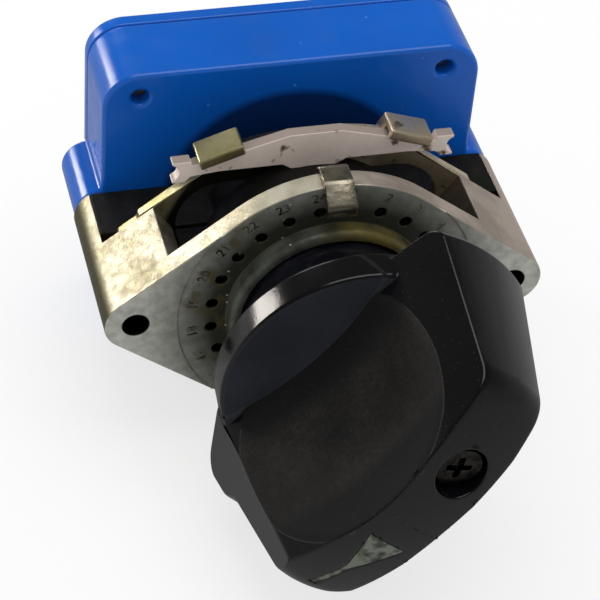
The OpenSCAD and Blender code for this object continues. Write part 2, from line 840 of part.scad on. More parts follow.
module retaining_ring() {
    ring_t = clip_ring_t - fixed_gap;
    top = ring_front - fixed_gap / 2;
    color("dimgray") difference() {
        rod(shaft_r + ring_lip, top, top - ring_t);
        rod(groove_r + fixed_gap, 0, shaft_rear - 1);
        translate([0, -groove_r - fixed_gap, shaft_rear - 1])
            cube([shaft_r * 3, 2 * (groove_r + fixed_gap), -shaft_rear]);
    }
}

// Knob

module in_grip_frame() {
    rotate(knob_angle) children();
}

// Centre of the round between an end and the crown: [distance from the axis, height]
function round_centre(reach) =
    let (k = 1 + end_draft * end_draft,
         a = reach + end_draft * grip_rear - end_round * sqrt(k),
         b = a * end_draft + crown_z,
         c = a * a + crown_z * crown_z - pow(crown_r - end_round, 2),
         z = (b + sqrt(b * b - k * c)) / k)
    [a - end_draft * z, z];

// How much of the toe is left at a height above the grip's rear
function toe_at(up) =
    up < toe_full ? 1 : up > toe_end ? 0 : (1 + cos(180 * (up - toe_full) / (toe_end - toe_full))) / 2;

// Section of one end of the grip, turned about the shaft: rear edge, side, round and crown
module end_section(reach, toe_size) {
    steps = 8;
    centre = round_centre(reach);
    lean = atan(end_draft);
    crown_angle = atan2(centre[1] - crown_z, centre[0]);
    rear_z = grip_rear + rear_round;
    rear_l = reach + toe_size - rear_round - end_draft * rear_round;
    rear = [for (i = [0 : steps]) let (a = -90 + 90 * i / steps)
        [rear_l + rear_round * cos(a), rear_z + rear_round * sin(a)]];
    side = [for (i = [0 : steps]) let (up = toe_full + (toe_end - toe_full) * i / steps)
        [reach - end_draft * up + toe_size * toe_at(up), grip_rear + up]];
    top = [for (i = [0 : steps]) let (a = lean + (crown_angle - lean) * i / steps)
        [centre[0] + end_round * cos(a), centre[1] + end_round * sin(a)]];
    crown = [for (i = [1 : 12]) let (a = crown_angle + (90 - crown_angle) * i / 12)
        [crown_r * cos(a), crown_z + crown_r * sin(a)]];
    polygon(concat([[0, grip_rear]], rear, toe_size > 0 ? side : [], top, crown));
}

// Everything beyond one drafted side plane, which starts at a crease and turns inwards
module beyond_side(crease, turn) {
    size = 80;
    translate([crease, grip_half_w, grip_rear]) rotate(-turn) rotate([atan(side_draft), 0, 0])
        translate([-size, 0, -size]) cube([size * 2, size, size * 2]);
}

module grip() {
    difference() {
        union() {
            rotate(-90) rotate_extrude(angle = 180, $fn = round_fn) end_section(tail_reach, 0);
            rotate(90) rotate_extrude(angle = 180, $fn = round_fn) end_section(pointer_reach, toe);
        }
        for (side = [0, 1]) mirror([0, side, 0]) {
            beyond_side(0, 0);
            beyond_side(tail_crease, tail_angle);
            beyond_side(-pointer_crease, -pointer_angle);
            translate([0, waist + scoop_r, scoop_height]) sphere(r = scoop_r, $fn = round_fn);
        }
    }
}

module hub() {
    edge = 0.5;
    rotate_extrude($fn = round_fn) union() {
        translate([0, hub_rear]) square([hub_r - hub_round, hub_front - hub_rear]);
        translate([0, hub_rear + hub_round]) square([hub_r, hub_front - hub_rear - hub_round - edge]);
        translate([hub_r - hub_round, hub_rear + hub_round]) circle(r = hub_round, $fn = small_fn);
        polygon([
            [0, hub_front], [hub_r - edge, hub_front], [hub_r, hub_front - edge], [0, hub_front - edge],
        ]);
    }
}

// Flat outline of the pointer: a triangle and a line towards the grip's end
module pointer_outline(grow) {
    half_line = pointer_line_w / 2 + grow;
    polygon([
        [-pointer_base_l + grow, -pointer_half_w - grow], [-pointer_base_l + grow, pointer_half_w + grow],
        [-pointer_tip_l, half_line], [-pointer_end_l - grow, half_line],
        [-pointer_end_l - grow, -half_line], [-pointer_tip_l, -half_line],
    ]);
}

// A solid of revolution as high as the crown, lowered by a given depth
module under_crown(depth) {
    intersection() {
        translate([0, 0, crown_z - depth]) sphere(r = crown_r, $fn = round_fn * 2);
        rod(hub_r * 1.2, grip_top + 1, hub_front, round_fn);
    }
}

module knob() {
    color("#1c1c22") in_grip_frame() difference() {
        union() {
            hub();
            grip();
        }
        rotate(-knob_angle) keyed_bore(shaft_front + 0.5, 0);
        rod(neck_boss_r + fixed_gap, hub_rear + neck_boss_h + fixed_gap, 0, round_fn);
        translate([knob_screw_l, 0]) rod(counterbore_r, grip_top + 1, screw_seat);
        translate([knob_screw_l, 0]) rod(knob_screw_r + 2 * fixed_gap, grip_top, 0);
        difference() {
            translate([0, 0, hub_front]) linear_extrude(grip_top) pointer_outline(fixed_gap);
            under_crown(inlay_depth + fixed_gap);
        }
    }
}

module pointer_inlay() {
    color("#c9cfc0") in_grip_frame() intersection() {
        difference() {
            translate([0, 0, hub_front]) linear_extrude(grip_top - hub_front) pointer_outline(0);
            under_crown(inlay_depth);
        }
        under_crown(0.02);
    }
}

module neck_profile() {
    flare = neck_front_r - neck_r;
    flare_start = collar_h + 0.9;
    polygon(concat(
        [[0, neck_rear], [neck_r - 0.3, neck_rear], [neck_r, neck_rear + 0.3], [neck_r, flare_start]],
        [for (i = [1 : 8]) let (a = 90 * i / 8)
            [neck_r + flare * (1 - cos(a)), flare_start + (hub_rear - flare_start) * sin(a)]],
        [[neck_boss_r, hub_rear], [neck_boss_r, hub_rear + neck_boss_h], [0, hub_rear + neck_boss_h]]
    ));
}

module knob_neck() {
    color("#15161f") difference() {
        rotate_extrude($fn = round_fn) neck_profile();
        keyed_bore(hub_front, neck_rear - 1);
        in_grip_frame() translate([knob_screw_l, 0])
            rod(knob_screw_r + fixed_gap, hub_front, knob_screw_tip - moving_gap);
        translate([0, 0, neck_screw_z]) rotate([0, 90, 0])
            cylinder(r = neck_screw_r + fixed_gap, h = neck_r * 2, $fn = small_fn);
    }
}

module neck_screw() {
    hex_depth = 1.5;
    color("dimgray") translate([flat_x + fixed_gap, 0, neck_screw_z]) rotate([0, 90, 0]) difference() {
        cylinder(r = neck_screw_r, h = neck_screw_l, $fn = small_fn);
        translate([0, 0, neck_screw_l - hex_depth]) cylinder(r = hex_r, h = hex_depth + 1, $fn = 6);
    }
}

module knob_screw() {
    cross = knob_head_r * 1.1;
    color("#2b2b2b") in_grip_frame() translate([knob_screw_l, 0]) {
        rod(knob_screw_r, screw_seat + eps, knob_screw_tip);
        difference() {
            rod(knob_head_r, screw_seat + knob_head_h, screw_seat);
            for (turn = [30, 120]) rotate(turn) translate([-cross / 2, -0.4, screw_seat + knob_head_h * 0.45])
                cube([cross, 0.8, knob_head_h]);
        }
    }
}

lay_down() {
    front_frame();
    front_bushing();
    rim_clip();
    detent_block();
    star_wheel();
    mirror([1, 0, 0]) detent_ball();  // detent_ball_left
    detent_ball();  // detent_ball_right
    mirror([1, 0, 0]) detent_spring();  // detent_spring_left
    detent_spring();  // detent_spring_right
    spring_plugs();
    retaining_bar();
    strap_bracket();
    base_spacer();
    housing();
    stator();
    contact_studs();
    common_ring();
    rear_cover();
    rear_bushing();
    cover_screws();
    frame_screws();
    shaft();
    spacer_tube();
    contact_rotor();
    wiper();
    thrust_washer();
    retaining_ring();
    knob();
    knob_neck();
    neck_screw();
    knob_screw();
    pointer_inlay();
}
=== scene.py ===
import math

import bmesh
import bpy
from mathutils import Matrix, Vector


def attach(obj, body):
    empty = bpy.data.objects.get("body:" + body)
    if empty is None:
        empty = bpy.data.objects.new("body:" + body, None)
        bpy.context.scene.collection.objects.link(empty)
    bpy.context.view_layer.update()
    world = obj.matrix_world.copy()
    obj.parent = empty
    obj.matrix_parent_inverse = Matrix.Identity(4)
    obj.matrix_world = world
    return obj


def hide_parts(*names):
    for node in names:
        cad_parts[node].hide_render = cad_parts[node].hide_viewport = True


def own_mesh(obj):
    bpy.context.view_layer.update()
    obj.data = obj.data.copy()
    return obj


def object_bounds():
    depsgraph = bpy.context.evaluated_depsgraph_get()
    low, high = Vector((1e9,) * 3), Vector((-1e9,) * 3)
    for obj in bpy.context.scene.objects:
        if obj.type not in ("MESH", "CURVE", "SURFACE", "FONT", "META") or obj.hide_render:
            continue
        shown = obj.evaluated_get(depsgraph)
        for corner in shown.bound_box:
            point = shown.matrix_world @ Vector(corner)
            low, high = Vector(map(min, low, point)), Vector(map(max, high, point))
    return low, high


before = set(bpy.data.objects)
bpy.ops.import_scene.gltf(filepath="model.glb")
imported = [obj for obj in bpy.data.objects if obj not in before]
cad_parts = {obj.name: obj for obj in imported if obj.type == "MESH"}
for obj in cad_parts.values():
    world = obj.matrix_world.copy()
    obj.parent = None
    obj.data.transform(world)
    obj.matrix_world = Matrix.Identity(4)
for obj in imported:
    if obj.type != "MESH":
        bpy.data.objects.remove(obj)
cad_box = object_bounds()


# Front frame: a zinc die casting in one piece, with its plate, ears, posts and collar.
# The rim is rubbed bright and brown stains have crept in on the left. The face is
# painted dark round the hub: partly old grease, partly a painted reflection of the
# black knob. Yellow chromate is left in the collar's corner.
def tone(code):
    shares = [int(code[i:i + 2], 16) / 255 for i in (0, 2, 4)]
    return (*[s / 12.92 if s <= 0.04045 else ((s + 0.055) / 1.055) ** 2.4 for s in shares], 1.0)


def put(tree, kind, inputs=None, **settings):
    node = tree.nodes.new("ShaderNode" + kind)
    for key, value in settings.items():
        setattr(node, key, value)
    for key, value in (inputs or {}).items():
        if isinstance(value, bpy.types.NodeSocket):
            tree.links.new(value, node.inputs[key])
        else:
            node.inputs[key].default_value = value
    return node


def rising(tree, value, low, high):
    return put(tree, "MapRange", {0: value, 1: low, 2: high}).outputs[0]


def sheath(name, inputs, outputs):
    tree = bpy.data.node_groups.new(name, "ShaderNodeTree")
    for label, kind, value in inputs:
        socket = tree.interface.new_socket(label, in_out="INPUT", socket_type="NodeSocket" + kind)
        socket.default_value = value
    for label, kind in outputs:
        tree.interface.new_socket(label, in_out="OUTPUT", socket_type="NodeSocket" + kind)
    return tree, tree.nodes.new("NodeGroupInput").outputs, tree.nodes.new("NodeGroupOutput").inputs


def patches_group():
    tree, given, result = sheath(
        "patches",
        [("Scale", "Float", 200.0), ("Detail", "Float", 4.0), ("Low", "Float", 0.45), ("High", "Float", 0.6),
         ("Shift", "Vector", (0.0, 0.0, 0.0)), ("Stretch", "Vector", (1.0, 1.0, 1.0))],
        [("Mask", "Float")])
    here = put(tree, "TexCoord").outputs["Object"]
    moved = put(tree, "VectorMath", {0: here, 1: given["Shift"]}, operation="ADD")
    pulled = put(tree, "VectorMath", {0: moved.outputs[0], 1: given["Stretch"]}, operation="MULTIPLY")
    noise = put(tree, "TexNoise", {"Vector": pulled.outputs[0], "Scale": given["Scale"],
                                   "Detail": given["Detail"]})
    tree.links.new(rising(tree, noise.outputs[0], given["Low"], given["High"]), result["Mask"])
    return tree


def worn_edges_group():
    tree, given, result = sheath(
        "worn_edges",
        [("Radius", "Float", 0.0002), ("Low", "Float", 0.01), ("High", "Float", 0.1)],
        [("Mask", "Float")])
    rounded = put(tree, "Bevel", {"Radius": given["Radius"]}, samples=6)
    flat = put(tree, "NewGeometry").outputs["Normal"]
    along = put(tree, "VectorMath", {0: rounded.outputs[0], 1: flat}, operation="DOT_PRODUCT")
    bend = put(tree, "Math", {0: 1.0, 1: along.outputs["Value"]}, operation="SUBTRACT")
    mask = rising(tree, bend.outputs[0], given["Low"], given["High"])
    broken = put(tree, "Group", {"Scale": 700.0, "Low": 0.3, "High": 0.55}, node_tree=patches)
    worn = put(tree, "Math", {0: mask, 1: broken.outputs[0]}, operation="MULTIPLY")
    tree.links.new(worn.outputs[0], result["Mask"])
    return tree


def specks_group():
    tree, given, result = sheath(
        "specks",
        [("Scale", "Float", 900.0), ("Size", "Float", 0.2), ("Share", "Float", 0.1)],
        [("Mask", "Float")])
    here = put(tree, "TexCoord").outputs["Object"]
    cells = put(tree, "TexVoronoi", {"Vector": here, "Scale": given["Scale"]})
    dot = put(tree, "Math", {0: cells.outputs["Distance"], 1: given["Size"]}, operation="LESS_THAN")
    pick = put(tree, "SeparateColor", {0: cells.outputs["Color"]})
    few = put(tree, "Math", {0: pick.outputs[0], 1: given["Share"]}, operation="LESS_THAN")
    both = put(tree, "Math", {0: dot.outputs[0], 1: few.outputs[0]}, operation="MULTIPLY")
    tree.links.new(both.outputs[0], result["Mask"])
    return tree


def skin_group():
    tree, given, result = sheath(
        "skin",
        [("Scale", "Float", 1500.0), ("Depth", "Float", 0.00002), ("Detail", "Float", 3.0)],
        [("Normal", "Vector")])
    here = put(tree, "TexCoord").outputs["Object"]
    noise = put(tree, "TexNoise", {"Vector": here, "Scale": given["Scale"], "Detail": given["Detail"]})
    bump = put(tree, "Bump", {"Height": noise.outputs[0], "Distance": given["Depth"], "Strength": 1.0})
    tree.links.new(bump.outputs[0], result["Normal"])
    return tree


patches = patches_group()
worn_edges = worn_edges_group()
specks = specks_group()
skin = skin_group()


def finish(name, metallic=0.0, roughness=0.5, specular=0.5):
    material = bpy.data.materials.new(name)
    material.use_nodes = True
    tree = material.node_tree
    shader = tree.nodes["Principled BSDF"]
    shader.inputs["Metallic"].default_value = metallic
    shader.inputs["Roughness"].default_value = roughness
    shader.inputs["Specular IOR Level"].default_value = specular
    return material, tree, shader


def over(tree, mask, below, above):
    return put(tree, "Mix", {0: mask, 6: below, 7: above}, data_type="RGBA").outputs[2]


def level(tree, mask, low, high):
    return put(tree, "MapRange", {0: mask, 3: low, 4: high}).outputs[0]


def effect(tree, group, **inputs):
    return put(tree, "Group", inputs, node_tree=group).outputs[0]


def along_axis(tree, axis, low, high):
    here = put(tree, "SeparateXYZ", {0: put(tree, "TexCoord").outputs["Object"]})
    return rising(tree, here.outputs[axis], low, high)


def from_shaft(tree, low, high):
    flat = put(tree, "VectorMath", {0: put(tree, "TexCoord").outputs["Object"], 1: (1.0, 0.0, 1.0)},
               operation="MULTIPLY")
    length = put(tree, "VectorMath", {0: flat.outputs[0]}, operation="LENGTH").outputs["Value"]
    return rising(tree, length, low, high)


def facing(tree, direction, low, high):
    normal = put(tree, "TexCoord").outputs["Normal"]
    turned = put(tree, "VectorMath", {0: normal, 1: direction}, operation="DOT_PRODUCT").outputs["Value"]
    return rising(tree, turned, low, high)


def reckoned(tree, operation, first, *others):
    result = first
    for other in others:
        result = put(tree, "Math", {0: result, 1: other}, operation=operation).outputs[0]
    return result


def times(tree, *masks):
    return reckoned(tree, "MULTIPLY", *masks)


# In each pair a mask is 0 at the first value and 1 at the second.
ear_place = 0.025
ear_hole_edge = (0.00185, 0.00175)
stop_hole_circle = (0.0176, 0.0174)
stop_hole_front = (0.0002, 0.0004)
stop_hole_rear = (0.0031, 0.0029)
collar_edge = (0.01355, 0.01345)
collar_front = (0.0003, -0.0002)
turned_edge = (0.0188, 0.0186)
turned_floor = (0.0005, 0.0003)
rubbed_edge = (0.0186, 0.019)
rim_inside = (0.0194, 0.0195)
rim_outside = (0.0199, 0.0198)
grease_and_reflection_to_pale = (0.0152, 0.0245)
stain_side = (-0.008, -0.013)
stain_edge = (0.0185, 0.0195)
olive_to_pink = (-0.004, 0.006)
green_to_yellow = (-0.003, 0.001)
left_facing = (0.55, 0.9)
front_facing = (0.75, 0.95)


def away_from_ears(tree):
    here = put(tree, "SeparateXYZ", {0: put(tree, "TexCoord").outputs["Object"]})
    aside = put(tree, "Math", {0: here.outputs[0]}, operation="ABSOLUTE").outputs[0]
    aside = reckoned(tree, "SUBTRACT", aside, ear_place)
    across = put(tree, "CombineXYZ", {0: aside, 2: here.outputs[2]}).outputs[0]
    return put(tree, "VectorMath", {0: across}, operation="LENGTH").outputs["Value"]


def casting_sides(tree):
    cloudy = effect(tree, patches, Scale=160.0, Low=0.4, High=0.62)
    olive = over(tree, cloudy, tone("ebe6d0"), tone("b3ad92"))
    pinkish = over(tree, cloudy, tone("f6e5d6"), tone("d4c6b7"))
    sides = over(tree, along_axis(tree, 0, *olive_to_pink), olive, pinkish)
    # Painted shade: faces turned to the left are painted darker.
    return over(tree, facing(tree, (-1.0, 0.0, 0.0), *left_facing), sides, tone("5f5b42"))


def casting_face(tree):
    # Painted reflection: the face is dark round the hub, where the black knob is mirrored, and pale towards
    # the ears.
    face = over(tree, from_shaft(tree, *grease_and_reflection_to_pale), tone("37382f"), tone("d9dad0"))
    grime_and_shade = level(tree, effect(tree, patches, Scale=650.0, Detail=6.0, Low=0.35, High=0.75), 0.0, 0.45)
    face = over(tree, grime_and_shade, face, tone("34362f"))
    blotchy = effect(tree, patches, Scale=300.0, Low=0.5, High=0.6, Shift=(5.0, 0.0, 1.0))
    kept_in = level(tree, from_shaft(tree, *stain_edge), 0.75, 0.0)
    stains = times(tree, blotchy, along_axis(tree, 0, *stain_side), kept_in)
    return over(tree, stains, face, tone("57502f"))


def casting():
    material, tree, shader = finish("casting")
    # Painted shade: the sunk edges round the collar foot and the stop holes also take the face's dark
    # colours.
    sunk = times(tree, along_axis(tree, 1, *turned_floor), from_shaft(tree, *turned_edge))
    front = reckoned(tree, "MAXIMUM", facing(tree, (0.0, -1.0, 0.0), *front_facing), sunk)
    colour = over(tree, front, casting_sides(tree), casting_face(tree))
    face_rim = times(tree, from_shaft(tree, *rim_inside), from_shaft(tree, *rim_outside))
    edges = times(tree, effect(tree, worn_edges, Radius=0.00025, Low=0.01, High=0.12),
                  from_shaft(tree, *rubbed_edge), level(tree, face_rim, 1.0, 0.0))
    colour = over(tree, edges, colour, tone("e8e2d0"))
    chromate = over(tree, along_axis(tree, 0, *green_to_yellow), tone("63665c"), tone("746a37"))
    dull = effect(tree, patches, Scale=300.0, Low=0.4, High=0.7)
    collar = times(tree, from_shaft(tree, *collar_edge), along_axis(tree, 1, *collar_front))
    colour = over(tree, collar, colour, over(tree, dull, chromate, tone("3c3d36")))
    # Painted glints: tiny pale specks scattered on the face.
    painted_glint_specks = effect(tree, specks, Scale=1500.0, Size=0.22, Share=0.05)
    colour = over(tree, times(tree, painted_glint_specks, front), colour, tone("b5b4a3"))
    # Painted shade: the stop holes and ear holes are coloured near black inside.
    stop_holes = times(tree, along_axis(tree, 1, *stop_hole_front), along_axis(tree, 1, *stop_hole_rear),
                       from_shaft(tree, *stop_hole_circle))
    holes = reckoned(tree, "MAXIMUM", stop_holes, rising(tree, away_from_ears(tree), *ear_hole_edge))
    colour = over(tree, holes, colour, tone("1b1b16"))
    rough = level(tree, effect(tree, patches, Scale=900.0, Low=0.35, High=0.65), 0.4, 0.52)
    tree.links.new(colour, shader.inputs["Base Color"])
    tree.links.new(rough, shader.inputs["Roughness"])
    tree.links.new(level(tree, front, 0.95, 0.4), shader.inputs["Metallic"])
    tree.links.new(effect(tree, skin, Scale=2600.0, Depth=0.00004), shader.inputs["Normal"])
    return material


merge_distance = 2e-6
flat_angle = math.radians(0.3)
corner_angle = math.radians(30)
shading_angle = math.radians(38)


def piece_from(form, name, material, smooth=True):
    mesh = bpy.data.meshes.new(name)
    form.to_mesh(mesh)
    form.free()
    if smooth:
        mesh.polygons.foreach_set("use_smooth", [True] * len(mesh.polygons))
        mesh.set_sharp_from_angle(angle=shading_angle)
    mesh.materials.append(material)
    piece = bpy.data.objects.new(name, mesh)
    bpy.context.scene.collection.objects.link(piece)
    return piece


def dressed(node, body, material, edge=0.0, segments=3):
    form = bmesh.new()
    form.from_mesh(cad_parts[node].data)
    bmesh.ops.remove_doubles(form, verts=form.verts, dist=merge_distance)
    bmesh.ops.dissolve_limit(form, angle_limit=flat_angle, verts=form.verts, edges=form.edges,
                             use_dissolve_boundaries=False, delimit=set())
    if edge:
        corners = [e for e in form.edges if len(e.link_faces) == 2 and e.calc_face_angle(0) > corner_angle]
        bmesh.ops.bevel(form, geom=corners, offset=edge, offset_type="OFFSET", segments=segments, profile=0.5,
                        affect="EDGES", clamp_overlap=False, material=-1)
    piece = piece_from(form, node + "_finished", material)
    even = piece.modifiers.new("even_normals", "WEIGHTED_NORMAL")
    even.keep_sharp = True
    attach(piece, body)
    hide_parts(node)
    return piece


dressed("front_frame", "frame", casting(), edge=0.00015)


# Position numbers: 1 to 24, struck into the plate beside each stop hole.
# They are plain figures in the casting's own metal, rubbed bright in patches that also serve as painted
# glints.
positions = 24
pitch = math.radians(360 / positions)
figure_height = 0.0019
figure_circle = 0.01775
figure_rise = 0.00005
face_depth = 0.0001
seam = 1e-6


def struck_metal():
    material, tree, shader = finish("struck_metal", metallic=0.9, roughness=0.32)
    # Rubbed metal and painted glints: pale patches on the dark figures.
    bright = effect(tree, patches, Scale=600.0, Low=0.37, High=0.57)
    tree.links.new(over(tree, bright, tone("30312b"), tone("a8a594")), shader.inputs["Base Color"])
    tree.links.new(effect(tree, skin, Scale=2600.0, Depth=0.00004), shader.inputs["Normal"])
    return material


figures = bmesh.new()
upright = Matrix.Rotation(math.radians(90), 4, "X")
for place in range(positions):
    turn = math.radians(90) - (place + 0.5) * pitch
    words = bpy.data.curves.new("figure", "FONT")
    words.body = str(place + 1)
    words.size = figure_height
    words.align_x = "CENTER"
    words.align_y = "CENTER"
    words.extrude = figure_rise / 2
    words.resolution_u = 3
    written = bpy.data.objects.new("figure", words)
    bpy.context.scene.collection.objects.link(written)
    bpy.context.view_layer.update()
    mesh = bpy.data.meshes.new_from_object(written)
    centre = Vector((math.cos(turn), 0, math.sin(turn))) * figure_circle
    centre.y = face_depth - figure_rise / 2
    mesh.transform(Matrix.Translation(centre) @ Matrix.Rotation(math.radians(90) - turn, 4, "Y") @ upright)
    figures.from_mesh(mesh)
    bpy.data.objects.remove(written)
    bpy.data.meshes.remove(mesh)
bmesh.ops.remove_doubles(figures, verts=figures.verts, dist=seam)
numbers = piece_from(figures, "position_numbers", struck_metal(), smooth=False)
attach(numbers, "frame")


# Rim clip: a strip of spring steel, zinc plated and hooked over the plate's rim.
# Its front end slopes down to a blunt nose, which stands clear of the face.
clip_half_width = 0.0019
clip_sheet = 0.0008
clip_fold = 0.0003
rim_top = 0.01935
behind_plate = 0.00305
before_plate = 0.00005
rear_leg_end = 0.0154
nose_slope = math.radians(37)
nose_turn = math.radians(73)
slope_length = 0.0026
lip_length = 0.0008
clip_corner = math.radians(60)
clip_edge = 0.00012


def plating():
    material, tree, shader = finish("plating", metallic=1.0)
    dull = effect(tree, patches, Scale=380.0, Low=0.4, High=0.66)
    colour = over(tree, dull, tone("a9a18c"), tone("8b8475"))
    rust = effect(tree, patches, Scale=260.0, Low=0.62, High=0.7, Shift=(3.0, 1.0, 2.0))
    colour = over(tree, rust, colour, tone("8d7a55"))
    edges = effect(tree, worn_edges, Radius=0.0002, Low=0.01, High=0.1)
    tree.links.new(over(tree, edges, colour, tone("f2e8cc")), shader.inputs["Base Color"])
    tree.links.new(level(tree, dull, 0.24, 0.45), shader.inputs["Roughness"])
    tree.links.new(effect(tree, skin, Scale=1400.0, Depth=0.00003), shader.inputs["Normal"])
    return material


def run_on(form, end, step):
    faces = [g for g in end if isinstance(g, bmesh.types.BMFace)]
    grown = bmesh.ops.extrude_face_region(form, geom=faces)["geom"]
    bmesh.ops.translate(form, vec=step, verts=[g for g in grown if isinstance(g, bmesh.types.BMVert)])
    return grown


def fold(form, end, centre, angle):
    return bmesh.ops.spin(form, geom=end, cent=centre, axis=(1, 0, 0), angle=angle, steps=6,
                          use_duplicate=False)["geom_last"]


strip = bmesh.new()
foot = Matrix.Translation((0, behind_plate + clip_sheet / 2, rear_leg_end))
foot = foot @ Matrix.Diagonal((clip_half_width, clip_sheet / 2, 1, 1))
end = bmesh.ops.create_grid(strip, x_segments=1, y_segments=1, size=1, matrix=foot)["verts"]
end = end + list(strip.edges) + list(strip.faces)
axis_height = rim_top - clip_fold
end = run_on(strip, end, (0, 0, axis_height - rear_leg_end))
end = fold(strip, end, (0, behind_plate - clip_fold, axis_height), math.pi / 2)
end = run_on(strip, end, (0, before_plate + 2 * clip_fold - behind_plate, 0))
front_axis = Vector((0, before_plate + clip_fold, axis_height))
end = fold(strip, end, front_axis, nose_slope)
down_slope = Vector((0, -math.cos(nose_slope), -math.sin(nose_slope))) * slope_length
end = run_on(strip, end, down_slope)
end = fold(strip, end, front_axis + down_slope, nose_turn)
lip_turn = nose_slope + nose_turn
end = run_on(strip, end, Vector((0, -math.cos(lip_turn), -math.sin(lip_turn))) * lip_length)
bmesh.ops.remove_doubles(strip, verts=strip.verts, dist=seam)
bmesh.ops.recalc_face_normals(strip, faces=strip.faces)
corners = [e for e in strip.edges if e.calc_face_angle(0) > clip_corner]
bmesh.ops.bevel(strip, geom=corners, offset=clip_edge, offset_type="OFFSET", segments=2, profile=0.5,
                affect="EDGES", clamp_overlap=True, material=-1)
rim_clip = piece_from(strip, "hooked_clip", plating())
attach(rim_clip, "frame")
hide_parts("rim_clip")


# Front and rear bushes: turned brass, pressed into the plate and the cover.
# Oil and wear have browned them.
def turned_brass():
    material, tree, shader = finish("turned_brass", metallic=1.0)
    brown = effect(tree, patches, Scale=300.0, Low=0.4, High=0.65)
    tree.links.new(over(tree, brown, tone("c9a45a"), tone("7c5a2a")), shader.inputs["Base Color"])
    tree.links.new(level(tree, brown, 0.22, 0.48), shader.inputs["Roughness"])
    return material


brass = turned_brass()
for node in ("front_bushing", "rear_bushing"):
    dressed(node, "frame", brass, edge=0.0001)


# Detent: a dark moulded block with two guide bores, a steel star wheel with 24
# notches, two steel balls and the slotted plugs behind them. A notch's flank pushes
# each ball out against its wire spring; each spring gets a mesh of its own.
def ground_steel(name, light, dark, grain=500.0):
    material, tree, shader = finish(name, metallic=1.0)
    stained = effect(tree, patches, Scale=grain, Low=0.42, High=0.66)
    edges = effect(tree, worn_edges, Radius=0.0001, Low=0.01, High=0.1)
    colour = over(tree, stained, tone(light), tone(dark))
    tree.links.new(over(tree, edges, colour, tone("e2e0da")), shader.inputs["Base Color"])
    tree.links.new(level(tree, stained, 0.22, 0.46), shader.inputs["Roughness"])
    return material


def dark_moulding():
    material, tree, shader = finish("dark_moulding", specular=0.2)
    dusty = effect(tree, patches, Scale=330.0, Low=0.48, High=0.75)
    colour = over(tree, dusty, tone("121110"), tone("211f1a"))
    grease = effect(tree, patches, Scale=150.0, Low=0.66, High=0.72, Shift=(1.0, 4.0, 2.0))
    tree.links.new(over(tree, grease, colour, tone("3f2412")), shader.inputs["Base Color"])
    tree.links.new(level(tree, grease, 0.62, 0.3), shader.inputs["Roughness"])
    tree.links.new(effect(tree, skin, Scale=1200.0, Depth=0.00003), shader.inputs["Normal"])
    return material


steel = ground_steel("ground_steel", "b4b2ac", "6e6a62")
black_plastic = dark_moulding()
dressed("detent_block", "frame", black_plastic, edge=0.0002)
dressed("star_wheel", "rotor", steel, edge=0.00008)
for side, outward in (("left", -1), ("right", 1)):
    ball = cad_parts["detent_ball_" + side]
    ball.data.materials.clear()
    ball.data.materials.append(steel)
    spring = dressed("detent_spring_" + side, "frame", steel)
    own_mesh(spring)
dressed("spring_plugs", "frame", steel, edge=0.00008)


# Retaining bar: stamped from thick steel sheet, dull and pinkish with age.
# Its two seats hold the bracket's straps and its middle nose keys the block.
top_facing = (0.7, 0.95)


def aged_sheet():
    material, tree, shader = finish("aged_sheet", metallic=0.2)
    cloudy = effect(tree, patches, Scale=180.0, Low=0.38, High=0.66)
    colour = over(tree, cloudy, tone("fdeee4"), tone("ebdcd2"))
    # Painted shade: faces looking up are painted darker than the front. The front's pale colour is painted
    # light against the shade under the plate.
    colour = over(tree, facing(tree, (0.0, 0.0, 1.0), *top_facing), colour, tone("a09289"))
    spots = effect(tree, patches, Scale=420.0, Low=0.64, High=0.72, Shift=(2.0, 2.0, 5.0))
    colour = over(tree, spots, colour, tone("6e5747"))
    edges = effect(tree, worn_edges, Radius=0.00015, Low=0.01, High=0.1)
    tree.links.new(over(tree, edges, colour, tone("cdbfb6")), shader.inputs["Base Color"])
    tree.links.new(level(tree, cloudy, 0.42, 0.58), shader.inputs["Roughness"])
    tree.links.new(effect(tree, skin, Scale=1800.0, Depth=0.00002), shader.inputs["Normal"])
    return material


dressed("retaining_bar", "frame", aged_sheet(), edge=0.00012)


# Strap bracket: steel sheet, pressed, folded and yellow chromated. The folds are
# rubbed down to bright metal, and painted shade blackens it behind the bar on the left.
bracket_dip = 0.0012
bracket_dip_half = 0.009
bracket_front = 0.012
bracket_edge_radius = 0.0186
olive_to_beige = (-0.004, 0.008)
bar_shade_front = (0.0121, 0.0123)
bar_shade_edge = (0.0215, 0.0195)
bar_shade_side = (0.009, 0.003)


